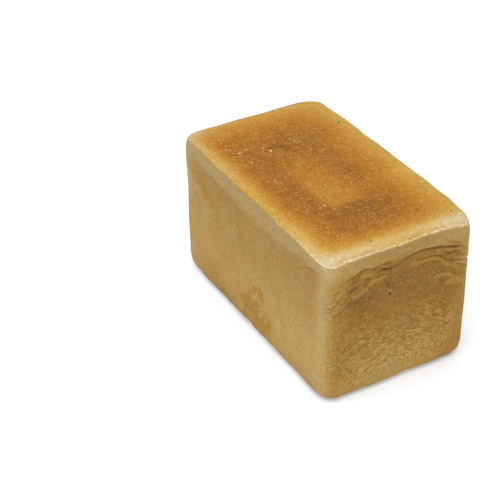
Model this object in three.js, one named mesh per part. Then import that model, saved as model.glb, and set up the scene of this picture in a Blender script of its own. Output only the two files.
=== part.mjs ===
// A tin loaf: one whole white sandwich loaf, baked in a square tin with a lid.
// Millimetres, +Z up. The loaf stands on its base, centred on the origin, its length along X.
import * as THREE from "three";
import { mergeVertices } from "three/addons/utils/BufferGeometryUtils.js";

// The inside of the tin gives the loaf its size: no crust can grow past these walls.
const LENGTH = 206;
const WIDTH = 120;
const HEIGHT = 118;

// The edges are rounded where the dough didn't reach into the tin's corners.
const CORNER_RADIUS = 9; // upright edges, and how far each edge reaches in across the top and the base
const LID_EDGE = 4.5; // height of the rounding at the lid
const BASE_EDGE = 6; // height of the rounding at the base
// Each corner is rounder again: cut back by so much along X, Y and Z, and less and less further away.
const CORNER_CUTS = [
  [2.1, 1.3], // at -X: the corners at -Y and at +Y
  [2.2, 2.2], // at +X
];
const CORNER_CUT_REACH = [17, 15, 13]; // how far it reaches along X, Y and Z

// As the loaf cools its crumb shrinks, and the walls and the top draw in between their edges.
const SIDE_BOW = 2.6;
const END_BOW = 2.4;
const TOP_SAG = 1.8;
const BOW_BELOW_LID = 0.6; // below 1 puts the deepest place above the middle of the wall

// The dough rises unevenly: the far top edge falls away on both sides of its highest place, the top
// corners stay lower than the rest, and every wall ripples a little where it let go of the tin.
const FAR_EDGE_FALL = 1.2;
const FAR_EDGE_PEAK = 24;
const CORNER_FALLS = [
  [0.4, 1.2], // at -X: the corners at -Y and at +Y
  [0.8, 4.0], // at +X
];
const CORNER_FALL_REACH = [38, 26, 28]; // how far a corner's fall reaches along X, Y and down
const RIPPLE = 0.35;
const RIPPLE_ALONG = 47;
const RIPPLE_UP = 61;

// Grid lines along each side of the tin, as runs of [from, to, steps]. They are closest at the edges
// and in the belt of folds under the lid.
const FOLD_BELT = [66, 110];
const ACROSS_LENGTH = stations([
  [-LENGTH / 2, -LENGTH / 2 + CORNER_RADIUS, 3],
  [-LENGTH / 2 + CORNER_RADIUS, LENGTH / 2 - CORNER_RADIUS, 22],
  [LENGTH / 2 - CORNER_RADIUS, LENGTH / 2, 3],
]);
const ACROSS_WIDTH = stations([
  [-WIDTH / 2, -WIDTH / 2 + CORNER_RADIUS, 3],
  [-WIDTH / 2 + CORNER_RADIUS, WIDTH / 2 - CORNER_RADIUS, 24],
  [WIDTH / 2 - CORNER_RADIUS, WIDTH / 2, 3],
]);
const UP_HEIGHT = stations([
  [0, BASE_EDGE, 3],
  [BASE_EDGE, FOLD_BELT[0], 7],
  [FOLD_BELT[0], FOLD_BELT[1], 22],
  [FOLD_BELT[1], HEIGHT - LID_EDGE, 1],
  [HEIGHT - LID_EDGE, HEIGHT, 3],
]);

function stations(runs) {
  const places = [runs[0][0]];
  for (const [from, to, steps] of runs)
    for (let i = 1; i <= steps; i++) places.push(from + ((to - from) * i) / steps);
  return places;
}

// A fold is a line in the crust with a lip above it. Below the line the crust steps in, and comes
// back out to the wall over a distance.
// - line: [along, up] places that the line passes through, from end to end
// - step: how far in the crust goes, or out where it is below 0, as on the ledge of a bulge
// - close: how far down the crust takes to come back
// - soft: half the height of the step, small for a sharp crease
// - taper: length over which the fold dies out at its two ends
const FRONT_FOLDS = [
  { line: [[-46, 98.5], [-38, 101], [-29, 104.2], [-22, 102.4], [-13, 104.5], [-2, 103]], step: 1.5, close: 9, soft: 0.8, taper: 8 },
  { line: [[-19, 98.6], [-13, 98.3], [-7, 97.2], [2, 100.6], [12, 103], [26, 102.6], [39, 99.7], [53, 96.4]], step: 2.6, close: 12, soft: 0.8, taper: 9 },
  { line: [[-30, 95.4], [-21, 95], [-9, 92.6]], step: 1.0, close: 7, soft: 0.8, taper: 5 },
  { line: [[11, 94.6], [25, 94.3], [31, 93.7], [38, 88], [45, 85.3], [56, 84.5]], step: 1.3, close: 6, soft: 1.1, taper: 6 },
  { line: [[9, 90.5], [27, 90], [36, 84.5], [44, 79]], step: 0.9, close: 26, soft: 1.8, taper: 8 },
  { line: [[-58, 88.3], [-50, 90], [-36, 87.6], [-22, 91]], step: 0.8, close: 6, soft: 1.6, taper: 5 },
  { line: [[-58, 77.7], [-48, 75.7], [-36, 80], [-24, 84]], step: 1.2, close: 22, soft: 1.8, taper: 6 },
  { line: [[24, 79.5], [36, 77.6], [43, 76], [54, 70]], step: 1.0, close: 8, soft: 1.0, taper: 6 },
];
const BACK_FOLDS = [
  { line: [[-54, 95], [-36, 101.5], [-14, 103.4], [3, 101.2], [24, 102.2]], step: 2.3, close: 12, soft: 0.8, taper: 9 },
  { line: [[5, 98], [19, 100.3], [38, 97.5], [55, 90]], step: 1.9, close: 11, soft: 0.8, taper: 7 },
  { line: [[-56, 82], [-44, 87.5], [-29, 91], [-8, 93.2]], step: 1.6, close: 8, soft: 0.9, taper: 7 },
  { line: [[-45, 83], [-27, 87.5], [-6, 89.5]], step: 0.8, close: 24, soft: 1.8, taper: 9 },
  { line: [[18, 88], [32, 87.5], [44, 81.5], [56, 73]], step: 1.4, close: 14, soft: 1.0, taper: 6 },
];
// On the long sides the crust under the lid hangs in one wide swag, with a soft crease towards one
// end of it and a bulge with a ledge towards the other.
const NEAR_FOLDS = [
  { line: [[-103, 104], [-70, 101], [-38, 97.5], [2, 93], [40, 96], [70, 102], [103, 106]], step: 1.7, close: 34, soft: 5, taper: 22 },
  { line: [[-99, 95], [-90, 88], [-84, 81.5], [-75, 78.5], [-66, 73], [-56, 69]], step: -1.2, close: 22, soft: 2.2, taper: 9 },
  { line: [[58, 89.5], [65, 93.5], [75, 100.5], [82, 103], [93, 105.5]], step: 0.9, close: 11, soft: 1.4, taper: 6 },
];
const FAR_FOLDS = [
  { line: [[-101, 101], [-60, 96], [-16, 89], [30, 93], [68, 99.5], [102, 105]], step: 1.7, close: 32, soft: 4.5, taper: 22 },
  { line: [[46, 71], [60, 76.5], [78, 82], [90, 89], [99, 96]], step: -1.1, close: 20, soft: 2.2, taper: 10 },
  { line: [[-97, 97], [-82, 95.5], [-71, 91], [-60, 84]], step: 1.0, close: 12, soft: 1.0, taper: 7 },
];
// One crease crosses part of the top. Its line runs along Y, and the crust steps down on its -X side.
const TOP_FOLDS = [
  { line: [[-50, -55], [-38, -52], [-29, -50.5], [-18, -50], [-9, -48.5], [-2, -45.5], [8, -41]], step: 1.1, close: 15, soft: 1.4, taper: 10 },
];

const { clamp, smoothstep } = THREE.MathUtils;

// Height of a fold's line at one place along. Between two of its places it is a cubic curve, whose
// slope at each place is that of the straight line between the place's two neighbours.
function lineAt(line, along) {
  const last = line.length - 1;
  const reached = line.findIndex(([start]) => start > along);
  const next = reached < 0 ? last : Math.max(reached, 1);
  const slope = (i) => {
    const [a, up] = line[Math.max(i - 1, 0)];
    const [b, higher] = line[Math.min(i + 1, last)];
    return (higher - up) / (b - a);
  };
  const [[from, startUp], [to, endUp]] = [line[next - 1], line[next]];
  const s = clamp((along - from) / (to - from), 0, 1);
  const rise = s * s * (3 - 2 * s);
  const bend = s * (1 - s) * (to - from);
  return startUp + (endUp - startUp) * rise + bend * ((1 - s) * slope(next - 1) - s * slope(next));
}

// How far all of a wall's folds set the crust in at one place on it.
function foldedIn(folds, along, up) {
  let inset = 0;
  for (const { line, step, close, soft, taper } of folds) {
    const from = line[0][0];
    const to = line.at(-1)[0];
    const below = lineAt(line, along) - up;
    const dying = smoothstep(along, from, from + taper) * smoothstep(-along, -to, taper - to);
    inset += step * dying * smoothstep(below, -soft, soft) * Math.exp(-Math.max(below, 0) / close);
  }
  return inset;
}

// A wall's hollow: nothing at its edges, most in the middle and a little above half height.
function wallBow(depth, along, halfLength, up) {
  const down = clamp((HEIGHT - LID_EDGE - up) / (HEIGHT - LID_EDGE - BASE_EDGE), 0, 1);
  return depth * (1 - (along / halfLength) ** 2) * Math.sin(Math.PI * down ** BOW_BELOW_LID);
}

// A wall's ripple: two crossed waves, each inwards from the tin only.
function ripple(along, up) {
  const wave = Math.sin((2 * Math.PI * along) / RIPPLE_ALONG + Math.sin((2 * Math.PI * up) / RIPPLE_UP));
  return RIPPLE * (1 + wave);
}

// How far everything near one of the top corners has stayed low.
function cornerFall(x, y, up) {
  const [reachX, reachY, reachDown] = CORNER_FALL_REACH;
  const near =
    smoothstep(Math.abs(x), LENGTH / 2 - reachX, LENGTH / 2) *
    smoothstep(Math.abs(y), WIDTH / 2 - reachY, WIDTH / 2) *
    smoothstep(up, HEIGHT - reachDown, HEIGHT - LID_EDGE);
  return near * CORNER_FALLS[x > 0 ? 1 : 0][y > 0 ? 1 : 0];
}

// How far a place near a corner is cut back, from its nearness to the corner along each axis.
function cornerCut(place) {
  const [nearX, nearY, nearZ] = [LENGTH / 2, WIDTH / 2, HEIGHT / 2].map((half, axis) => {
    const reach = CORNER_CUT_REACH[axis];
    const beyond = Math.abs(place.getComponent(axis)) - half + reach;
    return Math.max(beyond / reach, 0) ** 1.5;
  });
  return nearX * nearY * nearZ * CORNER_CUTS[place.x > 0 ? 1 : 0][place.y > 0 ? 1 : 0];
}

// Takes a point of the tin's plain box to its place on the crust.
function crustPoint(point) {
  const half = new THREE.Vector3(LENGTH / 2, WIDTH / 2, HEIGHT / 2);
  const fromCentre = point.clone().setZ(point.z - half.z);
  const radii = new THREE.Vector3(CORNER_RADIUS, CORNER_RADIUS, fromCentre.z > 0 ? LID_EDGE : BASE_EDGE);
  const core = half.clone().sub(radii);
  const anchor = fromCentre.clone().clamp(core.clone().negate(), core);
  const out = fromCentre.sub(anchor).divide(radii).normalize();
  const place = out.clone().multiply(radii).add(anchor);
  const up = place.z + half.z;

  const endFolds = out.x > 0 ? FRONT_FOLDS : BACK_FOLDS;
  const sideFolds = out.y > 0 ? FAR_FOLDS : NEAR_FOLDS;
  const endIn = wallBow(END_BOW, place.y, half.y, up) + foldedIn(endFolds, place.y, up) + ripple(place.y, up);
  const sideIn = wallBow(SIDE_BOW, place.x, half.x, up) + foldedIn(sideFolds, place.x, up) + ripple(place.x, up);
  const sag = TOP_SAG * (1 - (place.x / half.x) ** 2) * (1 - (place.y / half.y) ** 2);
  const fall = FAR_EDGE_FALL * ((place.x - FAR_EDGE_PEAK) / half.x) ** 2 * smoothstep(place.y, 0, half.y);
  const topIn = sag + fall + foldedIn(TOP_FOLDS, place.y, place.x);
  const cut = cornerCut(place);
  return new THREE.Vector3(
    place.x - Math.sign(out.x) * out.x ** 2 * Math.max(endIn, 0) - Math.sign(place.x) * cut,
    place.y - Math.sign(out.y) * out.y ** 2 * Math.max(sideIn, 0) - Math.sign(place.y) * cut,
    up - Math.max(out.z, 0) ** 2 * topIn - Math.sign(place.z) * cut - cornerFall(place.x, place.y, up),
  );
}

// The loaf starts as the tin's box in a grid of squares, and each corner of the grid is then moved
// to its station and on to the crust.
function loafGeometry() {
  const counts = [ACROSS_LENGTH, ACROSS_WIDTH, UP_HEIGHT].map((places) => places.length - 1);
  const box = new THREE.BoxGeometry(...counts, ...counts);
  const grid = box.getAttribute("position");
  for (let i = 0; i < grid.count; i++) {
    const [x, y, z] = [ACROSS_LENGTH, ACROSS_WIDTH, UP_HEIGHT].map(
      (places, axis) => places[Math.round(grid.getComponent(i, axis) + counts[axis] / 2)],
    );
    const moved = crustPoint(new THREE.Vector3(x, y, z));
    grid.setXYZ(i, moved.x, moved.y, moved.z);
  }
  box.deleteAttribute("normal");
  box.deleteAttribute("uv");
  const loaf = mergeVertices(box, 1e-3);
  loaf.computeVertexNormals();
  return loaf;
}

const crust = new THREE.MeshStandardMaterial({ color: 0xc08a3e, roughness: 0.75, metalness: 0 });
const loaf = new THREE.Mesh(loafGeometry(), crust);
loaf.name = "loaf";

const tinLoaf = new THREE.Group();
tinLoaf.add(loaf);
export default tinLoaf;
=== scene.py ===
"""A whole tin loaf: the fine surface and the finish of its crust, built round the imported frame."""

import math

import bmesh
import bpy
import numpy as np
from mathutils import Matrix, Vector


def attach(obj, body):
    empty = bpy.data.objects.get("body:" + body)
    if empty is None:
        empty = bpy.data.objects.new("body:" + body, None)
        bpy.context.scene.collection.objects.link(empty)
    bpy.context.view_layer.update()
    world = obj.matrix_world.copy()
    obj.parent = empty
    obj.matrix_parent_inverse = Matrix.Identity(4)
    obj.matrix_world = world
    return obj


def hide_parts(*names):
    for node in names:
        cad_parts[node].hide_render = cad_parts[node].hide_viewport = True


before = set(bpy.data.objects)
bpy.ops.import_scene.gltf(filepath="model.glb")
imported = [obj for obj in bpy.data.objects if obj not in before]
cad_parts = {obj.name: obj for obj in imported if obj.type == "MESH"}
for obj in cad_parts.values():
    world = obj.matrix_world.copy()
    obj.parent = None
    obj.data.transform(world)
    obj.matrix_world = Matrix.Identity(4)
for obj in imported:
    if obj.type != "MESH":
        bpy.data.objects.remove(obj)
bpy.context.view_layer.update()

# ---------------------------------------------------------------------------------------------
# The loaf's form. It is one solid piece of white bread that rose in a square tin until the lid
# stopped it. The tin gives its size, and the dough doesn't quite fill the tin's edges and corners.
MM = 0.001  # sizes are in millimetres, and each mesh is put into metres as it is made
LENGTH = 206
WIDTH = 120
HEIGHT = 118
HALF = np.array([LENGTH / 2, WIDTH / 2, HEIGHT / 2])
CORNER_RADIUS = 9
LID_EDGE = 4.5
BASE_EDGE = 6
CORNER_CUTS = ((2.1, 1.3), (2.2, 2.2))
CORNER_CUT_REACH = (17, 15, 13)
BASE_CORNER_CUT = 1.4


def stations(*runs):
    """Places of the grid lines: each run of (from, to, steps) is divided evenly."""
    places = [np.linspace(start, end, steps + 1)[1:] for start, end, steps in runs]
    return np.concatenate([[runs[0][0]], *places])


GRID_LINES = (
    stations((-103, -94, 8), (-94, 94, 132), (94, 103, 8)),
    stations((-60, -51, 8), (-51, 51, 100), (51, 60, 8)),
    stations((0, 6, 6), (6, 66, 46), (66, 110, 62), (110, 113.5, 4), (113.5, 118, 6)),
)


def shell_of_lattice(shape):
    """The outer shell of a block of shape lattice points: each shell point's three steps, and
    the squares of the six faces as rows of four point numbers, turning outwards."""
    steps = np.stack(np.meshgrid(*map(np.arange, shape), indexing="ij"), -1)
    last = np.array(shape) - 1
    outer = ((steps == 0) | (steps == last)).any(-1)
    number = np.full(shape, -1)
    number[outer] = np.arange(outer.sum())
    sheets = []
    for axis in range(3):
        for end in (0, -1):
            sheet = np.take(number, end, axis)
            corners = [sheet[:-1, :-1], sheet[1:, :-1], sheet[1:, 1:], sheet[:-1, 1:]]
            if (end == 0) == (axis != 1):
                corners.reverse()
            sheets.append(np.stack(corners, -1).reshape(-1, 4))
    return steps[outer], np.concatenate(sheets)


# Each point of the tin's plain box goes to the rounded form along its direction out from the
# box's inner core, with every axis measured in its own edge's size.
steps, squares = shell_of_lattice([len(places) for places in GRID_LINES])
box_points = np.stack([places[step] for places, step in zip(GRID_LINES, steps.T)], -1)
from_centre = box_points - [0, 0, HALF[2]]
radii = np.full(from_centre.shape, float(CORNER_RADIUS))
radii[:, 2] = np.where(from_centre[:, 2] > 0, LID_EDGE, BASE_EDGE)
anchor = np.clip(from_centre, radii - HALF, HALF - radii)
out = (from_centre - anchor) / radii
out /= np.linalg.norm(out, axis=1, keepdims=True)
place = anchor + out * radii + [0, 0, HALF[2]]
x, y, z = place.T
end_share = out[:, 0] ** 2
side_share = out[:, 1] ** 2
top_share = np.maximum(out[:, 2], 0) ** 2
base_share = np.maximum(-out[:, 2], 0) ** 2

# ---------------------------------------------------------------------------------------------
# The crust's folds. Where the rising dough was dragged up the tin's walls, its skin folded over
# itself. Each end has sharp lips in an arch, and the long sides hang in one soft swag.

# A fold is a line of [along, up] places with a lip above it. Below the line the crust steps in,
# or out where the step is below 0, and comes back out over its close distance. A soft fold has
# a slow step. Its values after the line are step, close, soft and taper.
DEEP_LIP = [(-19, 98.6), (-13, 98.3), (-7, 97.2), (2, 100.6)]
DEEP_LIP += [(12, 103), (26, 102.6), (39, 99.7), (53, 96.4)]
FRONT_FOLDS = [
    ([(-46, 98.5), (-38, 101), (-29, 104.2), (-22, 102.4), (-13, 104.5), (-2, 103)], 1.5, 9, 0.8, 8),
    (DEEP_LIP, 2.6, 12, 0.8, 9),
    ([(-30, 95.4), (-21, 95), (-9, 92.6)], 1.0, 7, 0.8, 5),
    ([(11, 94.6), (25, 94.3), (31, 93.7), (38, 88), (45, 85.3), (56, 84.5)], 1.3, 6, 1.1, 6),
    ([(9, 90.5), (27, 90), (36, 84.5), (44, 79)], 0.9, 26, 1.8, 8),
    ([(-58, 88.3), (-50, 90), (-36, 87.6), (-22, 91)], 0.8, 6, 1.6, 5),
    ([(-58, 77.7), (-48, 75.7), (-36, 80), (-24, 84)], 1.2, 22, 1.8, 6),
    ([(24, 79.5), (36, 77.6), (43, 76), (54, 70)], 1.0, 8, 1.0, 6),
]
BACK_FOLDS = [
    ([(-54, 95), (-36, 101.5), (-14, 103.4), (3, 101.2), (24, 102.2)], 2.3, 12, 0.8, 9),
    ([(5, 98), (19, 100.3), (38, 97.5), (55, 90)], 1.9, 11, 0.8, 7),
    ([(-56, 82), (-44, 87.5), (-29, 91), (-8, 93.2)], 1.6, 8, 0.9, 7),
    ([(-45, 83), (-27, 87.5), (-6, 89.5)], 0.8, 24, 1.8, 9),
    ([(18, 88), (32, 87.5), (44, 81.5), (56, 73)], 1.4, 14, 1.0, 6),
]
NEAR_FOLDS = [
    ([(-103, 104), (-70, 101), (-38, 97.5), (2, 93), (40, 96), (70, 102), (103, 106)], 1.7, 34, 5, 22),
    ([(-99, 95), (-90, 88), (-84, 81.5), (-75, 78.5), (-66, 73), (-56, 69)], -1.2, 22, 2.2, 9),
    ([(58, 89.5), (65, 93.5), (75, 100.5), (82, 103), (93, 105.5)], 0.9, 11, 1.4, 6),
]
FAR_FOLDS = [
    ([(-101, 101), (-60, 96), (-16, 89), (30, 93), (68, 99.5), (102, 105)], 1.7, 32, 4.5, 22),
    ([(46, 71), (60, 76.5), (78, 82), (90, 89), (99, 96)], -1.1, 20, 2.2, 10),
    ([(-97, 97), (-82, 95.5), (-71, 91), (-60, 84)], 1.0, 12, 1.0, 7),
]
TOP_LINE = [(-50, -55), (-38, -52), (-29, -50.5), (-18, -50), (-9, -48.5), (-2, -45.5), (8, -41)]
TOP_FOLDS = [(TOP_LINE, 1.1, 15, 1.4, 10)]


def smooth(value, start, end):
    """0 before start, 1 after end, and between them 3 s^2 - 2 s^3, where s is the share passed."""
    share = np.clip((value - start) / (end - start), 0, 1)
    return share * share * (3 - 2 * share)


def bell(value, middle, width):
    """A bell curve: e to the minus square of how many widths the value is from the middle."""
    return np.exp(-(((value - middle) / width) ** 2))


SLOPE_COUNT = 256
chance = np.random.default_rng(824)
slopes = chance.normal(size=(SLOPE_COUNT, 3))
slopes /= np.linalg.norm(slopes, axis=1, keepdims=True)
shuffled = chance.permutation(SLOPE_COUNT)


def noise(points, size, seed=0):
    """Gradient noise, about -1 to 1: every corner of a grid of cubes, size across, has a random
    slope, and inside each cube the heights of its eight slopes are blended smoothly."""
    spot = np.asarray(points, float) / size + 31.7 * seed
    cell = np.floor(spot).astype(int)
    within = spot - cell
    fade = within**3 * (within * (within * 6 - 15) + 10)
    height = np.zeros(spot.shape[:-1])
    for corner in np.ndindex(2, 2, 2):
        i, j, k = np.moveaxis(cell + corner, -1, 0) % SLOPE_COUNT
        picked = shuffled[(shuffled[(shuffled[i] + j) % SLOPE_COUNT] + k) % SLOPE_COUNT]
        share = np.prod(np.where(corner, fade, 1 - fade), axis=-1)
        height += share * (slopes[picked] * (within - corner)).sum(-1)
    return 1.7 * height


def line_at(line, along):
    """Height of a fold's line: between two of its places it is a cubic curve, whose slope at each
    place is that of the straight line between the place's two neighbours."""
    places, ups = np.array(line, float).T
    number = np.arange(len(places))
    after, before = np.minimum(number + 1, number[-1]), np.maximum(number - 1, 0)
    slope = (ups[after] - ups[before]) / (places[after] - places[before])
    k = np.clip(np.searchsorted(places, along, side="right"), 1, number[-1]) - 1
    gap = places[k + 1] - places[k]
    s = np.clip((along - places[k]) / gap, 0, 1)
    rise = s * s * (3 - 2 * s)
    bend = s * (1 - s) * gap
    return ups[k] + (ups[k + 1] - ups[k]) * rise + bend * ((1 - s) * slope[k] - s * slope[k + 1])


SHARP = 1.5
CREASE_WIDTH = 0.95
CREASE_DEPTH = 0.8
LIP_ABOVE = 1.5
LIP_WIDTH = 1.4
LIP_RISE = 0.25
ROLL_BELOW = 3.2
ROLL_WIDTH = 1.7
ROLL_RISE = 0.6
DROOP = 0.9
DROOP_REACH = 2.6
WANDER = 0.35


def folded(folds, along, up, rough):
    """Sums a wall's folds. Each steps in at its line on a smooth curve, and below it comes back
    out as e to the minus way down over its close distance. A sharp one adds bells of the way
    from its line. Returns how far they set the crust in, then, from 0 to 1, how deep in a crease,
    how far out on a lip and on the roll under the crease each point is, and last how far its lip
    sags over the crease."""
    inset, crease, lip, roll, sag = (np.zeros(along.shape) for _ in range(5))
    for line, step, close, soft, taper in folds:
        start, end = line[0][0], line[-1][0]
        sharp = soft < SHARP
        below = line_at(line, along) - up + (WANDER * rough if sharp else 0)
        dying = smooth(along, start, start + taper) * smooth(-along, -end, taper - end)
        inset += step * dying * smooth(below, -soft, soft) * np.exp(-np.maximum(below, 0) / close)
        if sharp:
            depth = dying * min(0.15 + step / 2.8, 1)
            crease = np.maximum(crease, depth * bell(below, 0.4, CREASE_WIDTH))
            lip = np.maximum(lip, depth * bell(below, -LIP_ABOVE, LIP_WIDTH))
            roll = np.maximum(roll, depth * bell(below, ROLL_BELOW, ROLL_WIDTH))
            hang = np.exp(-np.maximum(-below, 0) / DROOP_REACH) * smooth(below, soft, 0)
            sag += DROOP * depth * hang
    inset += CREASE_DEPTH * crease - LIP_RISE * lip - ROLL_RISE * roll
    return inset, crease, lip, roll, sag


def either(positive, negative, direction):
    """The first value where the wall faces the positive way, and the second elsewhere."""
    return np.where(direction > 0, positive, negative)


wander = noise(place, 5.5, 1)
front, back = folded(FRONT_FOLDS, y, z, wander), folded(BACK_FOLDS, y, z, wander)
far, near = folded(FAR_FOLDS, x, z, wander), folded(NEAR_FOLDS, x, z, wander)
end_folded = (either(f, b, out[:, 0]) for f, b in zip(front, back))
side_folded = (either(f, n, out[:, 1]) for f, n in zip(far, near))
end_fold, end_crease, end_lip, end_roll, end_droop = end_folded
side_fold, side_crease, side_lip, side_roll, side_droop = side_folded
top_fold, top_crease, top_lip, *_ = folded(TOP_FOLDS, y, x, wander)
crease = end_share * end_crease + side_share * side_crease + top_share * top_crease
lip = end_share * end_lip + side_share * side_lip + top_share * top_lip
roll = end_share * end_roll + side_share * side_roll

# ---------------------------------------------------------------------------------------------
# The crust's hollows. The crumb shrank as the loaf cooled, so the walls and the top drew in between
# their edges. The dough rose unevenly, so the far top edge and the top corners stayed low.
SIDE_BOW = 2.6
END_BOW = 2.4
TOP_SAG = 1.8
BOW_BELOW_LID = 0.6
FAR_EDGE_FALL = 1.2
FAR_EDGE_PEAK = 24
CORNER_FALLS = ((0.4, 1.2), (0.8, 4.0))
CORNER_FALL_REACH = (38, 26, 28)
RIPPLE = 0.35
RIPPLE_ALONG = 47
RIPPLE_UP = 61
PIT = (-49.8, -9.8)
PIT_WIDTH = 2.1
PIT_DEPTH = 0.9
BLISTER = (-45.5, -3.2)
BLISTER_SIZE = (5.5, 4.5)
BLISTER_RISE = 0.35


def wall_bow(depth, along, half, up):
    """A wall's hollow: a parabola along it, times half a sine wave down it whose deepest place
    lies above the middle."""
    down = np.clip((HEIGHT - LID_EDGE - up) / (HEIGHT - LID_EDGE - BASE_EDGE), 0, 1)
    return depth * (1 - (along / half) ** 2) * np.sin(np.pi * down**BOW_BELOW_LID)


def ripple(along, up):
    """A sine wave along, whose phase is a sine wave up, raised so that it only goes inwards."""
    wave = np.sin(2 * np.pi * along / RIPPLE_ALONG + np.sin(2 * np.pi * up / RIPPLE_UP))
    return RIPPLE * (1 + wave)


end_in = wall_bow(END_BOW, y, HALF[1], z) + end_fold + ripple(y, z)
side_in = wall_bow(SIDE_BOW, x, HALF[0], z) + side_fold + ripple(x, z)
sag = TOP_SAG * (1 - (x / HALF[0]) ** 2) * (1 - (y / HALF[1]) ** 2)
fall = FAR_EDGE_FALL * ((x - FAR_EDGE_PEAK) / HALF[0]) ** 2 * smooth(y, 0, HALF[1])
pit = bell(np.hypot(x - PIT[0], y - PIT[1]), 0, PIT_WIDTH) * top_share
blister = np.hypot((x - BLISTER[0]) / BLISTER_SIZE[0], (y - BLISTER[1]) / BLISTER_SIZE[1])
blister = smooth(blister, 1.1, 0.8) * top_share
top_in = sag + fall + top_fold + PIT_DEPTH * pit - BLISTER_RISE * blister
corner_fall = smooth(np.abs(x), HALF[0] - CORNER_FALL_REACH[0], HALF[0])
corner_fall *= smooth(np.abs(y), HALF[1] - CORNER_FALL_REACH[1], HALF[1])
corner_fall *= smooth(z, HEIGHT - CORNER_FALL_REACH[2], HEIGHT - LID_EDGE)
which_corner = (x > 0).astype(int), (y > 0).astype(int)
corner_fall *= np.array(CORNER_FALLS)[which_corner]

# ---------------------------------------------------------------------------------------------
# The crust's skin. It is uneven and leathery. Between the folds the skin of the ends is pleated in
# an arch, and low down it is wrinkled, in arches round a place below the base. Noise bends both.
BROAD = 0.45
PEEL = 0.12
PLEAT = 0.7
PLEAT_SIZE = 2.6
PLEAT_STRETCH = 4.2
PLEAT_FALL = 0.42
WRINKLE = 0.42
WRINKLE_SIZE = 2.1
WRINKLE_STRETCH = 2.5
WRINKLE_CENTRE = (-12, -34)
WRINKLE_RADIUS = 60
WRINKLE_BEND = 2.2

fallen = z + PLEAT_FALL * np.abs(y) + 1.6 * noise(place, 13, 25)
pleats = 1 - np.abs(noise(np.stack([fallen, y / PLEAT_STRETCH, x * 0], -1), PLEAT_SIZE, 26)) * 2.4
pleated = smooth(np.abs(x), 94, 101) * smooth(z, 105, 100)
pleated *= bell(np.abs(y), 46, 17) * bell(fallen, 106, 11)
bent = place + WRINKLE_BEND * np.stack([noise(place, 9, seed) for seed in (2, 3, 4)], -1)
arch_y, arch_z = bent[:, 1] - WRINKLE_CENTRE[0], bent[:, 2] - WRINKLE_CENTRE[1]
arch_angle = WRINKLE_RADIUS * np.arctan2(arch_y, arch_z)
arched = np.stack([np.hypot(arch_y, arch_z), arch_angle / WRINKLE_STRETCH, 20 * np.sign(x)], -1)
wrinkles = 1 - np.abs(noise(arched, WRINKLE_SIZE, 5)) * 2.2
wrinkled = end_share * smooth(z, 74, 38) * smooth(z, 2, 17) * smooth(np.abs(y + 3), 62, 38)
skin_in = BROAD * noise(place, 30, 6) / 2 + PEEL * noise(place, 4.5, 7) / 2
skin_in += WRINKLE * wrinkled * (0.4 - wrinkles) + PLEAT * pleated * (0.3 - pleats)

# ---------------------------------------------------------------------------------------------
# The seam of the lid. Dough that pressed into the gap between lid and tin baked to a thin raised
# bead round the loaf, with a groove above it in places and a slight dip below it.
SEAM_HEIGHT = 114.5
SEAM_WAVE = 0.45
SEAM_DIP = 0.25
BEAD_RISE = 0.45
GROOVE_DEPTH = 0.4

seam = SEAM_HEIGHT + SEAM_WAVE * (noise(place, 11, 8) + 0.6 * noise(place, 3.6, 9))
above_seam = z - seam
bead = bell(above_seam, 0.5, 0.75) * np.clip(0.6 + 0.7 * noise(place, 7, 23), 0, 1.2)
grooved = np.maximum(smooth(noise(place, 16, 24), -0.3, 0.4), bell(y, -38, 20) * (x > 0))
groove = bell(above_seam, 2.0, 0.4) * grooved
skin_in += SEAM_DIP * bell(above_seam, -0.8, 0.7) - BEAD_RISE * bead + GROOVE_DEPTH * groove

# ---------------------------------------------------------------------------------------------
# Ridges and cracks. Between the folds thin rolls of skin stand up, and here and there the skin has
# cracked. Each is a line of [along, up] places. The other long side has the near side's ridges.
RIDGE_WIDTH = 1.9
RIDGE_RISE = 0.6
END_RIDGES = [
    [(-38, 84), (-33, 84.6), (-27, 86)],
    [(-24, 89.5), (-12, 91)],
    [(-56, 88), (-50, 89.5), (-44, 88)],
    [(-30, 97.5), (-25, 96.5), (-20, 93.5)],
    [(11, 92.3), (20, 92.5), (28, 92), (33, 90), (37, 86), (40, 83)],
    [(31, 76.5), (38, 75.5), (43, 73.5)],
    [(40, 68), (46, 69.5), (50, 67)],
    [(-24, 102.2), (-19, 103.8), (-13, 104.6), (-6, 102.5)],
]
SIDE_RIDGES = [
    [(-94, 97), (-90, 91.5), (-87, 87)],
    [(-84, 82), (-76, 80.5), (-68, 74.5), (-60, 69)],
    [(65, 91), (69, 95.5), (76, 98.5), (88, 101)],
]
CRACK_WIDTH = 0.7
CRACK_DEPTH = 0.5
FRONT_CRACKS = [
    [(-12.5, 90), (-11, 87), (-9.5, 84), (-8, 81.3)],
    [(-13, 102), (-10, 101.8), (-6, 102.2)],
    [(35.5, 105.5), (38.5, 103.8), (42, 102.6), (46, 101), (48.5, 99.5)],
    [(45, 90), (50, 88.7), (55, 87.5)],
    [(51, 93.5), (55, 92.5)],
]
BACK_CRACKS = [
    [(8, 85), (6.5, 81), (6, 77)],
    [(-40, 105), (-33, 106.2), (-27, 105.6)],
    [(30, 104), (36, 103), (43, 100.5)],
]
FAR_CRACKS = [
    [(-38, 58), (-36.5, 60.5)],
    [(-92, 100), (-84, 102), (-76, 105)],
]
NEAR_CRACKS = [
    [(14.8, 71.3), (16.8, 73.4)],
]


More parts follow.
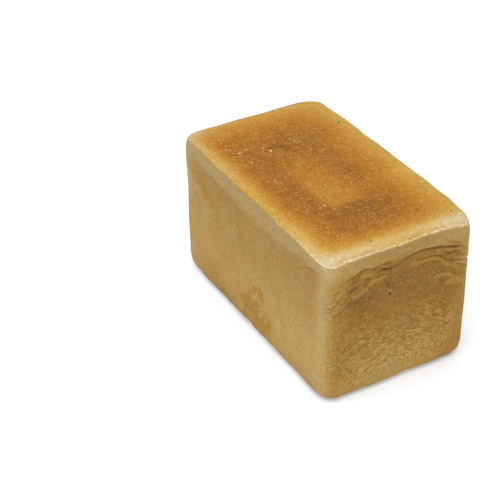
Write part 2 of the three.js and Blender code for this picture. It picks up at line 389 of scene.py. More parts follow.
def on_line(along, up, lines, width):
    """1 on thin lines and 0 away from them: a bell of the distance to the nearest of their
    straight stretches."""
    mark = np.zeros(along.shape)
    spots = np.stack([along, up], -1)
    for line in lines:
        for start, end in zip(np.array(line[:-1], float), np.array(line[1:], float)):
            run = end - start
            share = np.clip((spots - start) @ run / (run @ run), 0, 1)
            away = np.linalg.norm(spots - start - share[:, None] * run, axis=1)
            mark = np.maximum(mark, bell(away, 0, width))
    return mark


on_ends = on_line(y * np.sign(out[:, 0]), z + 0.8 * wander, END_RIDGES, RIDGE_WIDTH)
on_sides = on_line(-x * np.sign(out[:, 1]), z + wander, SIDE_RIDGES, RIDGE_WIDTH)
ridge = end_share * on_ends + side_share * on_sides
front, back = (on_line(y, z, lines, CRACK_WIDTH) for lines in (FRONT_CRACKS, BACK_CRACKS))
far, near = (on_line(x, z, lines, CRACK_WIDTH) for lines in (FAR_CRACKS, NEAR_CRACKS))
cracks = end_share * either(front, back, out[:, 0]) + side_share * either(far, near, out[:, 1])
skin_in += CRACK_DEPTH * cracks - RIDGE_RISE * ridge

# ---------------------------------------------------------------------------------------------
# The bottom edge. It curls up unevenly from whatever the loaf stands on. Each lift of the near long
# edge has its place along X, its height and its width.
CURL = 0.9
NEAR_LIFTS = ((-90, 1.0, 9), (-12, 0.9, 12), (28, 0.8, 9), (78, 0.9, 12))

edge_near = 1 - smooth(np.minimum(HALF[0] - np.abs(x), HALF[1] - np.abs(y)), 1, 13)
footing = place * (1, 1, 0)
curl = 0.45 + noise(footing, 26, 10) + 0.5 * noise(footing, 9, 11) + 0.8 * noise(footing, 5, 38)
curl = CURL * np.clip(curl, 0, 2)
near_side = smooth(y, -HALF[1] + 12, -HALF[1] + 2)
for lift_x, lift, width in NEAR_LIFTS:
    curl += lift * bell(x, lift_x, width) * near_side
curl *= np.where(base_share > 0.5, edge_near, 1) * smooth(z, 20, 1)

# All of it moves each point of the rounded form: in from its wall, in from its corner, and up. A
# corner's cut is the product over the axes of how far the point is into its reach, to the power 1.5.
wall_in = np.sign(out) * np.stack([end_share * end_in, side_share * side_in, top_share * top_in], -1)
crust = place - wall_in - out * ((1 - base_share) * skin_in)[:, None]
from_middle = place - [0, 0, HALF[2]]
beyond = (np.abs(from_middle) - HALF + CORNER_CUT_REACH) / CORNER_CUT_REACH
corner = np.prod(np.maximum(beyond, 0) ** 1.5, axis=1)
corner *= np.array(CORNER_CUTS)[which_corner] * np.where(z < HALF[2], BASE_CORNER_CUT, 1)
crust -= corner[:, None] * np.sign(from_middle)
crust[:, 2] += curl - corner_fall - end_share * end_droop - side_share * side_droop

# ---------------------------------------------------------------------------------------------
# The crust's colours, as the share of red, green and blue light that it returns at each bake.
# The lid baked the top to a deep gold ring round a paler middle, and left its edges light. The walls,
# against the tin, stayed a dull tan, browner in an arch on each end; in and under their folds they are
# darkened with painted shade, and their lips and ridges are lightened with painted light.
TOP_TONES = (
    (0.0, (0.455, 0.370, 0.232)),
    (0.2, (0.415, 0.275, 0.095)),
    (0.4, (0.370, 0.209, 0.038)),
    (0.6, (0.330, 0.158, 0.019)),
    (0.8, (0.287, 0.112, 0.006)),
    (1.0, (0.168, 0.060, 0.005)),
)
WALL_TONES = (
    (0.0, (0.392, 0.274, 0.104)),
    (0.25, (0.360, 0.228, 0.066)),
    (0.5, (0.308, 0.174, 0.041)),
    (0.7, (0.257, 0.128, 0.023)),
    (0.85, (0.208, 0.098, 0.016)),
    (1.0, (0.140, 0.066, 0.011)),
)
DUSTY = (0.366, 0.252, 0.097)
LOW_GOLD = np.array((0.1, 0.06, -0.02))
GOLDEN = np.array((0.2, 0.0, -1.0))
END_WARMTH = np.array((0.035, 0.0, -0.06))
EDGE_CREAM = (0.470, 0.365, 0.190)
LEFT_CREAM = (0.385, 0.300, 0.160)
STAIN = (0.310, 0.155, 0.018)
RIDGE_GOLD_AND_HIGHLIGHT = (0.400, 0.225, 0.048)

# Soft spots that are browner than round them, or paler where the strength is below 0. Each is
# (along, up, width, height, strength), and on the top up is along Y.
TOP_SPOTS = (
    (-50, -9, 4.5, 5, 0.1),
    (54, -6, 9, 30, 0.05),
    (10, 40, 8, 8, 0.07),
    (-50, 40, 10, 13, 0.06),
    (0, 5, 22, 22, 0.06),
    (98, 0, 6, 22, 0.06),
    (-103, -60, 12, 14, -0.14),
)
SIDE_SPOTS = (
    (10, 48, 14, 12, -0.05),
    (-62, 21, 16, 9, 0.1),
    (70, 24, 22, 14, -0.06),
    (70, 93, 22, 6, -0.06),
)
# At the ends these spots are painted shade in and under the folds, and where the strength is below 0
# they are painted light on the lit flaps between them.
FOLD_SHADE_AND_LIGHT_SPOTS = (
    (-9, 97.4, 8, 2.2, 0.24),
    (-30, 101.8, 7, 1.8, 0.12),
    (-24, 95, 6, 2, 0.14),
    (40, 86, 5, 3, 0.08),
    (12, 101.5, 14, 1.5, 0.12),
    (-36, 78, 10, 3, 0.08),
    (4, 103, 9, 2.6, 0.13),
    (-26, 91, 8, 4, 0.1),
    (36, 96, 6, 3, -0.15),
    (30, 88, 4, 3, -0.16),
    (50, 84, 6, 6, -0.12),
)
STAIN_SPOTS = (
    (-9, 21, 6, 4.5, 0.7),
    (25, 17, 4, 6, 0.6),
    (12, 41, 6, 2.5, 0.45),
    (-8, 11, 8, 2, -0.5),
    (12, 12, 9, 4, 0.3),
    (1, 17, 4, 3, 0.3),
    (16, 59, 2, 4, 0.3),
    (35, 47, 4, 9, 0.2),
    (44, 37, 4, 9, 0.2),
    (22, 11, 4, 2, -0.4),
)
END_STAINS = (
    (-52, 19, 12, 8, 0.3),
    (-32, 23, 9, 5, 0.2),
    (13, 31, 3, 3, 0.3),
    (24, 42, 8, 5, 0.12),
)


def toned(tones, bake):
    """The colour at each bake, from 0, palest, to 1, darkest: straight lines between the tones."""
    stops, colours = zip(*tones)
    return np.stack([np.interp(bake, stops, part) for part in np.array(colours).T], -1)


def inside_edge(inward, start, reach):
    """0 up to start from an edge, and then 1 minus e to the minus 1.6th power of the way past it
    in reaches, which is nearly 1 after two of them."""
    return 1 - np.exp(-((np.maximum(inward - start, 0) / reach) ** 1.6))


def spotted(along, up, spots):
    """The sum of soft spots, each a bell along times a bell up, times its strength."""
    total = np.zeros(along.shape)
    for spot_along, spot_up, width, height, strength in spots:
        total += strength * bell(along, spot_along, width) * bell(up, spot_up, height)
    return total


# The top: its ring, its pale middle, a pale way from there to the far side, and the light rims.
ring = inside_edge(HALF[0] + x, 0, 19) * inside_edge(HALF[0] - x, 6, 11)
ring *= inside_edge(HALF[1] + y, 3, 11) * inside_edge(HALF[1] - y, 2, 18)
middle = smooth(x, -45, 12) * smooth(x, 48, 36) * smooth(y, -24, -14) * smooth(y, 20, -2)
top_bake = 0.38 + 0.55 * ring - 0.23 * middle - 0.08 * bell(x, 29, 9) * smooth(y, 0, 25)
top_bake += spotted(x, y, TOP_SPOTS)
top_bake -= 0.22 * smooth(x, 84, 98) + 0.2 * smooth(y, -46, -58) * smooth(x, 20, 95)
top_bake += 0.1 * bell(y, -47, 8) * smooth(x, 60, 30) + 0.03 * bell(y, 2, 16) * smooth(x, -20, 20)
top_bake -= 0.06 * smooth(x, 74, 88) * bell(np.abs(y), 39, 13) + 0.06 * smooth(x, -96, -103)
top_bake += 0.03 * noise(place, 24, 12) + 0.035 * noise(place, 9, 13) + 0.035 * noise(place, 3.6, 14)
top_bake -= 0.12 * smooth(x, 70, 95) * smooth(y, 30, 57)
# Painted shade darkens the top's crease and painted light lightens its lip. The pit is darker and the
# blister browner.
top_bake += 0.3 * top_crease - 0.12 * top_lip + 0.35 * pit + 0.1 * blister


def side_bake(along, up, fold):
    """Bake of a long side: a level, plus smooth steps and bells along and up. It is pale under the lid
    and at the ends, darkened with painted shade where the swag sets it in, and browner low at one end."""
    bake = 0.27 - 0.17 * smooth(up, 99, 107) + 0.1 * fold
    bake -= 0.24 * smooth(along, 82, 96) + 0.12 * smooth(along, -86, -98)
    bake -= 0.13 * smooth(along, -15, 40) * bell(up, 34, 27)
    bake -= 0.08 * smooth(along, -84, -94) * smooth(up, 50, 80)
    bake -= 0.07 * smooth(along, 88, 98) * smooth(up, 60, 75)
    bake += 0.3 * bell(along, -44, 30) * smooth(up, 20, 4) + 0.12 * smooth(up, 9, 3)
    return bake + spotted(along, up, SIDE_SPOTS)


def end_bake(across, up):
    """Bake of an end, put together in the same way: brown in a wide arch under its folds, paler
    low down, and a band under the lid that is palest at both sides."""
    arch = smooth(np.abs(across - 2), 59, 36) * smooth(up, 18, 84)
    low = 0.43 + 0.4 * arch - 0.2 * bell(up, 10, 13) * bell(across, -5, 34)
    low += 0.16 * smooth(across, 28, 50) * smooth(up, 46, 8) - 0.06 * smooth(np.abs(across - 1), 52, 60)
    low += 0.06 * smooth(np.abs(across), 42, 52) * bell(up, 42, 20)
    low -= 0.16 * smooth(up, 87, 96) * (1 - 0.3 * bell(across, -4, 14))
    low += 0.11 * bell(across, 38, 11) * smooth(up, 82, 68) + 0.06 * smooth(across, 48, 57)
    low += 0.1 * smooth(across, -28, -44) * bell(up, 32, 20) - 0.03 * bell(up, 9, 6)
    low -= 0.12 * smooth(across, 42, 54) * smooth(up, 76, 90)
    band = 0.4 - 0.28 * smooth(np.abs(across + 2), 12, 46)
    share = smooth(up, 99.5, 105.5)
    return low * (1 - share) + band * share


# On the near side, a diagonal band of painted shade lies in the recess above the left ledge, and a
# strip of painted light lies along the ledge's lit top just under its line.
near_bake = side_bake(x, z, side_fold) + 0.14 * bell(x, -70, 14) * bell(z + 0.62 * x, 38, 7)
near_bake -= 0.16 * bell(x, -76, 22) * bell(z - line_at(NEAR_FOLDS[1][0], x), -1.5, 1.7)
far_bake = side_bake(-x, z, side_fold)
wall_bake = side_share * either(far_bake, near_bake, out[:, 1])
wall_bake += end_share * either(end_bake(y, z), end_bake(-y, z), out[:, 0])
wall_bake /= np.maximum(end_share + side_share, 1e-3)
streaked = place / (1, 1, 2.2)
wall_bake += 0.05 * noise(place, 24, 15) + 0.05 * noise(streaked, 7, 16) + 0.05 * noise(place, 3.2, 17)
# Painted shade darkens the creases and the fold spots, and painted light lightens the lips and the
# rolls under them. The cracks are darker too.
wall_bake += 0.28 * crease - 0.1 * lip - 0.1 * roll + 0.3 * cracks
wall_bake += end_share * spotted(y * np.sign(x), z, FOLD_SHADE_AND_LIGHT_SPOTS)
wall_bake += 0.09 * noise(place, 6, 34) * smooth(z, 96, 106) * side_share
# Painted shade darkens the grooves of the low wrinkles and of the pleats, and painted light lightens
# their ridges. Low down, the wrinkled part is also paler.
wall_bake += wrinkled * (0.16 * (0.5 - wrinkles) - 0.17 * smooth(z, 62, 20))
wall_bake += 0.42 * pleated * (0.4 - pleats)
base_bake = 0.62 - 0.3 * edge_near + 0.12 * noise(place, 18, 18) + 0.08 * noise(place, 6, 19)

# Wet dough that ran between the loaf and the tin left a stained dome low on each long side,
# darker round its edge.
stain_x = x * either(-1, 1, out[:, 1]) + 4 * noise(place, 10, 20) + 1.2 * noise(place, 3, 28)
stain_z = z + 4 * noise(place, 10, 21) + 1.2 * noise(place, 3, 29)
dome = np.hypot((stain_x - 8) / 22, (stain_z - 11) / 31)
stain = smooth(dome, 1.05, 0.85) * (0.4 + 0.3 * noise(place / (1, 1, 3), 2.6, 22))
stain += bell(dome, 0.9, 0.11) * (0.12 + 0.4 * noise(place, 8, 30))
stain += spotted(stain_x, stain_z, STAIN_SPOTS)
slanted = np.stack([(stain_x - stain_z) / 2, y * 0, (stain_x + stain_z) / 7], -1)
stain = np.clip(stain * (1.15 + 0.7 * noise(slanted, 2.2, 36)), 0, 1) * side_share
stain *= either(0.65, 1, out[:, 1])
patchy_stain = stain * either(0, 1, out[:, 1])

walls = toned(WALL_TONES, wall_bake)
walls *= 1 + wrinkled[:, None] * (0.05 + smooth(z, 62, 22)[:, None] * LOW_GOLD)
walls *= 1 + (side_share * bell(z, 30, 24) + 0.5 * end_share * bell(z, 10, 10))[:, None] * LOW_GOLD
dusty = 0.75 * smooth(z, 98, 108) * side_share + 0.35 * smooth(z, 100, 108) * end_share
walls += (DUSTY - walls) * dusty[:, None]
pale_left = smooth(x, -86, -99) * smooth(z, 60, 88) * smooth(y, 10, -20)
walls += (LEFT_CREAM - walls) * (0.35 * pale_left)[:, None]
pale_edge = smooth(np.abs(x), 89, 100) * smooth(np.abs(y), 46, 57) * smooth(z, 97, 113)
walls += (EDGE_CREAM - walls) * (0.45 * pale_edge * smooth(x - y, 40, 110))[:, None]
walls *= 1 + 0.17 * noise(place, 12, 35)[:, None] * GOLDEN + end_share[:, None] * END_WARMTH
stain += end_share * spotted(y * np.sign(x), z, END_STAINS)
walls += (STAIN - walls) * (0.95 * stain - 0.4 * patchy_stain)[:, None]
# The raised ridges are painted gold: partly their own colour, and partly painted highlight where they
# face the light.
walls += (RIDGE_GOLD_AND_HIGHLIGHT - walls) * ((0.6 * end_share + 0.35 * side_share) * ridge)[:, None]
lidded = smooth(above_seam + 0.8 * noise(place, 2, 37), -0.7, 0.7)
top_colour = toned(TOP_TONES, top_bake) * (1 - 0.15 * middle[:, None] * GOLDEN)
creamy = 0.3 * smooth(x, -92, -101) * smooth(y, 20, -40)
creamy = np.maximum(creamy, 0.75 * smooth(x, -84, -98) * smooth(y, -34, -54))
rim_cream = 0.28 * smooth(x, -5, -40) + 0.35 * smooth(x, -60, -95)
creamy = np.maximum(creamy, rim_cream * smooth(y, -52, -58))
top_colour += (LEFT_CREAM - top_colour) * creamy[:, None]
baked = walls + (top_colour - walls) * lidded[:, None]
# How much of the bead is painted cream, which is partly its own colour and partly painted highlight.
bead_light = 0.85 * smooth(x, 25, 88) - 0.1 + 0.4 * noise(place, 9, 27) + 0.4 * noise(place, 3, 32)
bead_light = np.clip(bead_light, 0, 1)
seam_brown = side_share * smooth(x * np.sign(-y), 60, 10) * np.clip(0.75 + noise(place, 9, 31), 0, 1)
baked += (toned(WALL_TONES, base_bake) - baked) * smooth(base_share, 0.4, 1)[:, None]

# ---------------------------------------------------------------------------------------------
# The baked crust. The form and its bake make one closed skin, which stands for the whole loaf.
# Its finish adds what is finer than that skin: specks and worm-like strokes of drier dough on the
# top, crinkles low on the ends, and the thin lines along the lid's seam.
FLECK_COLOUR = (0.60, 0.39, 0.125, 1)
GLINT_COLOUR = (0.72, 0.55, 0.27, 1)
DOT_COLOUR = (0.13, 0.06, 0.013, 1)
STAIN_COLOUR = (0.30, 0.145, 0.008, 1)
WRINKLE_SHADE_COLOUR = (0.24, 0.11, 0.017, 1)
CREST_HIGHLIGHT_COLOUR = (0.50, 0.335, 0.115, 1)
BEAD_CREAM_AND_HIGHLIGHT = (0.64, 0.55, 0.37, 1)
BROWN_COLOUR = (0.30, 0.16, 0.028, 1)
GROOVE_SHADE_COLOUR = (0.20, 0.10, 0.02, 1)
STROKE_ANGLE = math.radians(57)
STROKE_SHAPE = (0.5, 1, 1)
FLECK_CELL = 0.8
GLINT_CELL = 1.8
DOT_CELL = 2.6
FINE_CLOUD = 1.1
COARSE_CLOUD = 3.2
STROKE_CLOUD = 2.0
FLECK_SHARE = 0.66
GLINT_SHARE = 0.55
WORM_SHARE = 0.52
DOT_SHARE = 0.16
PATCH_SHARE = 0.75
WRINKLE_SHARE = 0.62
BEAD_SHARE = 0.65
BROWN_SHARE = 0.7
SEAM_SHARE = 0.6
DULL_SHINE = 0.2
SHINE_TINT = (1, 0.76, 0.38, 1)
RELIEF_STRENGTH = 0.7


def new_piece(name, points, faces):
    """Makes a smooth mesh of points in millimetres, whose faces all have as many corners, and an object
    of it at the origin. It rides on the loaf."""
    mesh = bpy.data.meshes.new(name)
    mesh.vertices.add(len(points))
    mesh.vertices.foreach_set("co", (points * MM).astype(np.float32).ravel())
    mesh.loops.add(faces.size)
    mesh.loops.foreach_set("vertex_index", faces.astype(np.int32).ravel())
    mesh.polygons.add(len(faces))
    mesh.polygons.foreach_set("loop_start", np.arange(0, faces.size, faces.shape[1], dtype=np.int32))
    mesh.polygons.foreach_set("use_smooth", np.ones(len(faces), bool))
    mesh.update(calc_edges=True)
    mesh.validate()
    piece = bpy.data.objects.new(name, mesh)
    bpy.context.scene.collection.objects.link(piece)
    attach(piece, "root")
    return piece


def keep_on(piece, name, kind, values):
    """Stores one value, vector or colour for each point of a piece, for its material to read."""
    part = {"FLOAT": "value", "FLOAT_VECTOR": "vector", "FLOAT_COLOR": "color"}[kind]
    layer = piece.data.attributes.new(name, kind, "POINT")
    layer.data.foreach_set(part, np.asarray(values, np.float32).ravel())


loaf = new_piece("loaf_crust", crust, squares)
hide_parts("loaf")

flecked = lidded + (1 - lidded) * (0.25 + 0.45 * end_share + 0.3 * end_share * bell(z, 72, 24))
flecked *= 1 - 0.8 * blister
rim = np.column_stack([above_seam, bead_light, seam_brown])
share = np.column_stack([flecked, wrinkled, grooved * end_share])
keep_on(loaf, "baked", "FLOAT_COLOR", np.column_stack([baked, np.ones(len(baked))]))
keep_on(loaf, "rim", "FLOAT_VECTOR", rim)
keep_on(loaf, "share", "FLOAT_VECTOR", share)
keep_on(loaf, "arched", "FLOAT_VECTOR", arched * MM)
keep_on(loaf, "stained", "FLOAT", patchy_stain)


class Socket:
    """A node's output in a material. Arithmetic on it adds Math nodes."""

    def __init__(self, paint, output):
        self.paint, self.output = paint, output

    def math(self, operation, *values):
        return self.paint.add("ShaderNodeMath", {"operation": operation}, *values)

    def __add__(self, other):
        return self.math("ADD", self, other)

    def __sub__(self, other):
        return self.math("SUBTRACT", self, other)

    def __rsub__(self, other):
        return self.math("SUBTRACT", other, self)

    def __mul__(self, other):
        return self.math("MULTIPLY", self, other)

    __radd__, __rmul__ = __add__, __mul__


class Paint:
    """A node material that is put together by adding one node at a time."""

    def __init__(self, name):
        self.material = bpy.data.materials.new(name)
        self.material.use_nodes = True
        self.tree = self.material.node_tree
        self.shader = self.tree.nodes["Principled BSDF"]

    def feed(self, socket, value):
        if isinstance(value, Socket):
            self.tree.links.new(value.output, socket)
        else:
            socket.default_value = value

    def add(self, kind, settings, *values, output=0, **named):
        """Adds a node, makes its settings, and gives its sockets values or links, by their names
        or in their order, where None leaves a socket as it is."""
        node = self.tree.nodes.new(kind)
        for name, value in settings.items():
            setattr(node, name, value)
        for socket, value in zip(node.inputs, values):
            if value is not None:
                self.feed(socket, value)
        for name, value in named.items():
            self.feed(node.inputs[name.replace("_", " ")], value)
        return Socket(self, node.outputs[output])

    def between(self, value, start, end):
        """0 at start and 1 at end, with the same curve between them as smooth."""
        settings = {"interpolation_type": "SMOOTHSTEP"}
        return self.add("ShaderNodeMapRange", settings, value, start, end, 0.0, 1.0)

    def blend(self, share, first, second, how="MIX"):
        """Mixes two colours, which a Mix node takes after its other kinds of values."""
        settings = {"data_type": "RGBA", "blend_type": how}
        values = (share, *[None] * 5, first, second)
        return self.add("ShaderNodeMix", settings, *values, output=2)


crust_paint = Paint("baked_crust")
spot = crust_paint.add("ShaderNodeTexCoord", {}, output="Object")


def kept(name, output):
    """Reads what was kept on the mesh under a name."""
    return crust_paint.add("ShaderNodeAttribute", {"attribute_name": name}, output=output)


def three_parts(vector):
    """The three numbers of a vector."""
    return [crust_paint.add("ShaderNodeSeparateXYZ", {}, vector, output=axis) for axis in "XYZ"]


def cloud(size, detail=3.0, roughness=0.6, where=spot):
    """Noise from 0 to 1, about a size in millimetres across."""
    settings = {"noise_dimensions": "3D"}
    scale = 1 / (size * MM)
    named = {"Vector": where, "Scale": scale, "Detail": detail, "Roughness": roughness}
    return crust_paint.add("ShaderNodeTexNoise", settings, **named)


def speckle(size, least, most, share, where=spot):
    """Small specks in a share of the cells of a size: 1 nearer to the cell's middle than least,
    and 0 further from it than most."""
    settings = {"feature": "F1"}
    named = {"Vector": where, "Scale": 1 / (size * MM), "Randomness": 1.0}
    away = crust_paint.add("ShaderNodeTexVoronoi", settings, output="Distance", **named)
    draw = crust_paint.add("ShaderNodeTexVoronoi", settings, output="Color", **named)
    draw = crust_paint.add("ShaderNodeSeparateColor", {}, draw)
    chosen = draw.math("GREATER_THAN", draw, 1.0 - share)
    return crust_paint.between(away, most, least) * chosen


def line(value, middle, width):
    """1 where a value is within a fifth of the width of the middle, and 0 from the width away."""
    return crust_paint.between(value.math("ABSOLUTE", value - middle), width, 0.2 * width)


above_seam_here, bead_here, brown_here = three_parts(kept("rim", "Vector"))
flecks_here, wrinkles_here, groove_here = three_parts(kept("share", "Vector"))
turned = crust_paint.add("ShaderNodeMapping", {}, Vector=spot, Rotation=(0, 0, -STROKE_ANGLE))
stretched = crust_paint.add("ShaderNodeVectorMath", {"operation": "MULTIPLY"}, turned, STROKE_SHAPE)
fine, coarse = cloud(FINE_CLOUD), cloud(COARSE_CLOUD)
rough = cloud(STROKE_CLOUD, 1.0, where=stretched)
fleck = speckle(FLECK_CELL, 0.1, 0.42, 0.55, stretched)
fleck *= crust_paint.between(cloud(2.4, 1.0), 0.3, 0.6)
glint = speckle(GLINT_CELL, 0.03, 0.2, 0.16, stretched)
dot = speckle(DOT_CELL, 0.08, 0.22, 0.35)
worm = line(rough, 0.5, 0.024) * crust_paint.between(cloud(3.6, 1.0), 0.46, 0.6)
shade = crust_paint.between(fine * 0.7 + coarse * 0.3, 0.32, 0.68)
tint = crust_paint.blend(shade, (0.84, 0.77, 0.67, 1), (1.16, 1.23, 1.33, 1))
painted = crust_paint.blend(1.0, kept("baked", "Color"), tint, "MULTIPLY")

# The stained dome low on the sides breaks up into sharp-edged darker patches.
patch = kept("stained", "Fac") + 0.6 * (cloud(5, 4.0, 0.6) - 0.5)
patch = crust_paint.between(patch, 0.38, 0.62) * crust_paint.between(patch, 1.3, 0.3)
painted = crust_paint.blend(patch * PATCH_SHARE, painted, STAIN_COLOUR)

# The leather wrinkles low on the ends: a fine net of creases, drawn out along the arches.
# Painted shade darkens the net's grooves, and painted highlight lightens its crests.
crinkle = cloud(1.15, 2.5, 0.62, kept("arched", "Vector"))
wrinkle_groove_shade = crust_paint.between(crinkle, 0.49, 0.36) * wrinkles_here
crest_highlight = crust_paint.between(crinkle, 0.52, 0.66) * wrinkles_here
painted = crust_paint.blend(wrinkle_groove_shade * WRINKLE_SHARE, painted, WRINKLE_SHADE_COLOUR)
painted = crust_paint.blend(crest_highlight * WRINKLE_SHARE, painted, CREST_HIGHLIGHT_COLOUR)

# The seam under the lid: a cream bead, partly lit with painted highlight, a brown line below it, and a
# thin groove above it darkened with painted shade.
wavy = above_seam_here + 2.6 * (cloud(2.4, 2.0) - 0.5)
bead_cream_and_highlight_line = line(wavy, 0.7, 0.85) * bead_here
bead_cream_and_highlight_line *= crust_paint.between(cloud(2.0, 2.0), 0.3, 0.55)
brown_line = line(above_seam_here, 0.5, 1.3) * brown_here
groove_line = line(above_seam_here, 1.75, 0.34) * groove_here
painted = crust_paint.blend(bead_cream_and_highlight_line * BEAD_SHARE, painted, BEAD_CREAM_AND_HIGHLIGHT)
painted = crust_paint.blend(brown_line * BROWN_SHARE, painted, BROWN_COLOUR)
painted = crust_paint.blend(groove_line * SEAM_SHARE, painted, GROOVE_SHADE_COLOUR)

# The specks and strokes of drier dough and the dark dots go over everything.
painted = crust_paint.blend(fleck * (FLECK_SHARE * flecks_here), painted, FLECK_COLOUR)
painted = crust_paint.blend(glint * (GLINT_SHARE * flecks_here), painted, GLINT_COLOUR)
painted = crust_paint.blend(worm * (WORM_SHARE * flecks_here), painted, FLECK_COLOUR)
painted = crust_paint.blend(dot * DOT_SHARE, painted, DOT_COLOUR)
crust_paint.feed(crust_paint.shader.inputs["Base Color"], painted)
roughness = 0.74 - 0.14 * flecks_here + 0.12 * (fine - 0.5)
crust_paint.feed(crust_paint.shader.inputs["Roughness"], roughness)

# The relief that is finer than the mesh, as heights in millimetres.
height = 0.16 * fine + 0.2 * coarse + 0.08 * fleck + 0.06 * worm - 0.1 * dot
height += 2.3 * (crinkle * wrinkles_here) - 0.2 * wrinkle_groove_shade - 0.25 * groove_line
relief = crust_paint.add("ShaderNodeBump", {}, Strength=RELIEF_STRENGTH, Distance=MM, Height=height)
crust_paint.feed(crust_paint.shader.inputs["Normal"], relief)
crust_paint.shader.inputs["Specular IOR Level"].default_value = DULL_SHINE
crust_paint.shader.inputs["Specular Tint"].default_value = SHINE_TINT
loaf.data.materials.append(crust_paint.material)

# ---------------------------------------------------------------------------------------------
# Grains stuck to the crust. Flour and dry scrapings of dough lie in pale grains on the crust, most
# of them along the top's crease, and a few crumbs are burnt. Each is a tiny flattened lump.

# A chosen grain is [along, up, half length, half width, degrees turned], on one face of the loaf.
TOP_FLOUR = (
    (-54.5, 6.5, 0.75, 0.5, 20),
    (-53, -17, 0.6, 0.4, 60),
    (-54.5, 25, 0.55, 0.4, 0),
    (-37, -36, 0.65, 0.45, 80),
    (-54.5, -37, 1.1, 0.6, 60),
    (-72, -42, 0.6, 0.45, 30),
    (-47, 10, 0.7, 0.4, 40),
    (39, -21.5, 0.85, 0.6, 45),
    (-12, 20, 0.6, 0.4, 10),
    (-45.2, -15, 1.4, 0.7, 155),
)
TOP_BURNT = (
    (-57.5, 50.5, 0.8, 0.5, 10),
    (-55.5, 49.5, 0.6, 0.45, 70),
    (92, -19, 0.6, 0.5, 0),
    (86.5, 50, 0.7, 0.45, 30),
    (-46.5, -18, 0.8, 0.5, 50),
)
END_FLOUR = (
    (-55, 51, 0.4, 0.25, 20),
    (-51.5, 37, 0.45, 0.3, 30),
    (-56.5, 33.5, 1.1, 0.35, 10),
    (-54.5, 46, 0.35, 0.25, 0),
    (-55, 25, 0.4, 0.25, 20),
    (28.5, 76, 0.5, 0.35, 40),
    (-36, 84, 0.45, 0.3, 20),
    (-35, 64, 0.5, 0.3, 0),
    (8, 85, 0.4, 0.3, 0),
    (-25, 82.5, 0.4, 0.3, 60),
    (-36, 7.5, 0.25, 1.0, 0),
)
END_BURNT = ((-7.5, 75, 0.6, 0.9, 0),)
FLOUR_COLOUR = (0.64, 0.55, 0.36)
BURNT_COLOUR = (0.08, 0.04, 0.014)
BEDDED = 0.25
RISE = 0.6
LUMPINESS = 0.35
CREASE_GRAINS = 24
LOOSE_GRAINS = 130
LOOSE_SIZES = (0.17, 0.37)
GRAIN_LIGHT = (0.7, 1.05)
END_SHADE = 0.3
GRAIN_ROUGHNESS = 0.8
FACES = {"top": ((0, 0, HEIGHT), (0, 1)), "end": ((HALF[0], 0, 0), (1, 2))}


def chosen(face, rows):
    """The crust's points nearest to chosen grains, the grains' half sizes, and the directions
    that they lie along."""
    middle, (along, up) = FACES[face]
    rows = np.array(rows, float)
    spots = middle + rows[:, 0:1] * np.eye(3)[along] + rows[:, 1:2] * np.eye(3)[up]
    numbers = np.array([((place - spot) ** 2).sum(1).argmin() for spot in spots])
    turns = np.radians(rows[:, 4:5])
    return numbers, rows[:, 2:4], np.cos(turns) * np.eye(3)[along] + np.sin(turns) * np.eye(3)[up]


def scattered(count, likeliness):
    """The same for grains that a seeded draw scatters, each point of the crust as likely as its
    share of the likeliness."""
    numbers = chance.choice(len(crust), count, p=likeliness / likeliness.sum())
    return numbers, chance.uniform(*LOOSE_SIZES, (count, 2)), chance.normal(size=(count, 3))


def unit(vectors):
    """The same directions at length 1."""
    return vectors / np.linalg.norm(vectors, axis=-1, keepdims=True)


ball = bmesh.new()
bmesh.ops.create_icosphere(ball, subdivisions=2, radius=1)
ball_points = np.array([point.co for point in ball.verts])
ball_faces = np.array([[point.index for point in face.verts] for face in ball.faces])
ball.free()

by_crease = bell(y, -32, 15) * bell(x - line_at(TOP_LINE, y), -5, 7) * top_share
all_over = 0.9 * top_share + 0.25 * end_share + 0.12 * side_share
flour = [chosen("top", TOP_FLOUR), chosen("end", END_FLOUR)]
flour += [scattered(CREASE_GRAINS, by_crease), scattered(LOOSE_GRAINS, all_over)]
burnt = [chosen("top", TOP_BURNT), chosen("end", END_BURNT)]
numbers, sizes, along = map(np.concatenate, zip(*flour, *burnt))
normal = out[numbers]
across = unit(np.cross(normal, along))
along = np.cross(across, normal)

# Each lump is the ball, drawn out along its three directions and made uneven by noise.
rise = RISE * sizes.min(1)
frames = np.stack([along * sizes[:, :1], across * sizes[:, 1:], normal * rise[:, None]], 1)
own_place = ball_points * 1.1 + 9.0 * np.arange(len(numbers))[:, None, None]
uneven = 1 + LUMPINESS * noise(own_place, 1.0, 33)
bed = crust[numbers] + BEDDED * rise[:, None] * normal
lumps = (ball_points * uneven[..., None]) @ frames + bed[:, None]
lump_faces = ball_faces + len(ball_points) * np.arange(len(numbers))[:, None, None]
grains = new_piece("crust_grains", lumps.reshape(-1, 3), lump_faces.reshape(-1, 3))

burnt_count = len(TOP_BURNT) + len(END_BURNT)
pale = np.arange(len(numbers)) < len(numbers) - burnt_count
grain_light = chance.uniform(*GRAIN_LIGHT, len(numbers)) - END_SHADE * end_share[numbers]
grain_colour = np.where(pale[:, None], FLOUR_COLOUR, BURNT_COLOUR) * grain_light[:, None]
grain_colour = np.column_stack([grain_colour, np.ones(len(numbers))]).repeat(len(ball_points), 0)
keep_on(grains, "baked", "FLOAT_COLOR", grain_colour)
grain_paint = Paint("flour_and_crumbs")
baked_grain = grain_paint.add("ShaderNodeAttribute", {"attribute_name": "baked"}, output="Color")
grain_paint.feed(grain_paint.shader.inputs["Base Color"], baked_grain)
grain_paint.shader.inputs["Roughness"].default_value = GRAIN_ROUGHNESS
grain_paint.shader.inputs["Specular IOR Level"].default_value = DULL_SHINE
grains.data.materials.append(grain_paint.material)

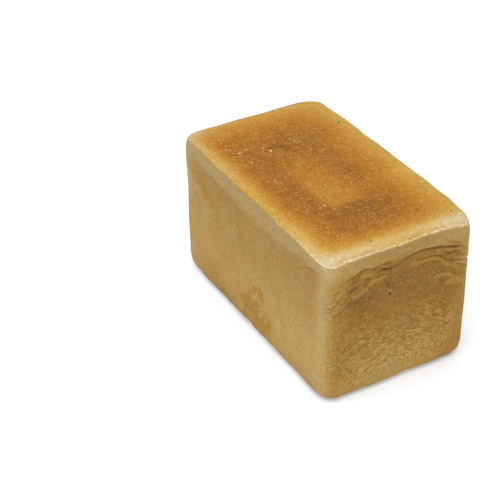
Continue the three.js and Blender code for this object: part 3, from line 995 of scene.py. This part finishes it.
# ---------------------------------------------------------------------------------------------
# The table and the light. The loaf stands on a wide white light table in a bright even room,
# under one large soft lamp overhead. The table's own glow keeps the shadow round the base soft.
TABLE_WHITE = (0.625, 0.645, 0.675)
TABLE_GLOW = 0.26
TABLE_ROUGHNESS = 0.9
ROOM_LIGHT = 0.68
LAMP_PLACE = (0.15, -0.3, 1.5)
LAMP_SIZE = 1.6
LAMP_POWER = 29

table_mesh = bpy.data.meshes.new("table")
table_mesh.from_pydata([(-6, -6, 0), (6, -6, 0), (6, 6, 0), (-6, 6, 0)], [], [(0, 1, 2, 3)])
table = bpy.data.objects.new("table", table_mesh)
bpy.context.scene.collection.objects.link(table)
table_paint = bpy.data.materials.new("table_paint")
table_paint.use_nodes = True
table_shader = table_paint.node_tree.nodes["Principled BSDF"]
table_shader.inputs["Base Color"].default_value = (*TABLE_WHITE, 1)
table_shader.inputs["Emission Color"].default_value = (1, 1, 1, 1)
table_shader.inputs["Emission Strength"].default_value = TABLE_GLOW
table_shader.inputs["Roughness"].default_value = TABLE_ROUGHNESS
table_shader.inputs["Specular IOR Level"].default_value = DULL_SHINE
table_mesh.materials.append(table_paint)

room = bpy.data.worlds.new("room")
room.use_nodes = True
room.node_tree.nodes["Background"].inputs["Color"].default_value = (1, 1, 1, 1)
room.node_tree.nodes["Background"].inputs["Strength"].default_value = ROOM_LIGHT
bpy.context.scene.world = room
bpy.context.scene.view_settings.view_transform = "Standard"

loaf_middle = Vector(HALF * (0, 0, MM))
lamp = bpy.data.objects.new("lamp", bpy.data.lights.new("lamp", "AREA"))
lamp.data.size = LAMP_SIZE
lamp.data.energy = LAMP_POWER
lamp.location = LAMP_PLACE
lamp.rotation_euler = (lamp.location - loaf_middle).to_track_quat("Z", "Y").to_euler()
bpy.context.scene.collection.objects.link(lamp)

# ---------------------------------------------------------------------------------------------
# The camera. It stands about a metre from the loaf, looks down on one end, one long side and the
# top, and is aimed a little to the left of the loaf.
CAMERA_AZIMUTH = 57.615
CAMERA_ELEVATION = 33.624
CAMERA_DISTANCE = 1.003
AIM_ASIDE = 2.953
AIM_UP = -0.455
CAMERA_ROLL = 0.894
LENS = 97.95

azimuth = math.radians(CAMERA_AZIMUTH)
elevation = math.radians(CAMERA_ELEVATION)
level = Vector((math.sin(azimuth), -math.cos(azimuth), 0)) * math.cos(elevation)
towards_camera = level + Vector((0, 0, math.sin(elevation)))
turn = towards_camera.to_track_quat("Z", "Y").to_matrix()
turn @= Matrix.Rotation(math.radians(AIM_ASIDE), 3, "Y")
turn @= Matrix.Rotation(math.radians(AIM_UP), 3, "X")
turn @= Matrix.Rotation(math.radians(CAMERA_ROLL), 3, "Z")
camera = bpy.data.objects.new("camera", bpy.data.cameras.new("camera"))
camera.data.lens = LENS
stand = Matrix.Translation(loaf_middle + towards_camera * CAMERA_DISTANCE)
camera.matrix_world = stand @ turn.to_4x4()
bpy.context.scene.collection.objects.link(camera)
bpy.context.scene.camera = camera
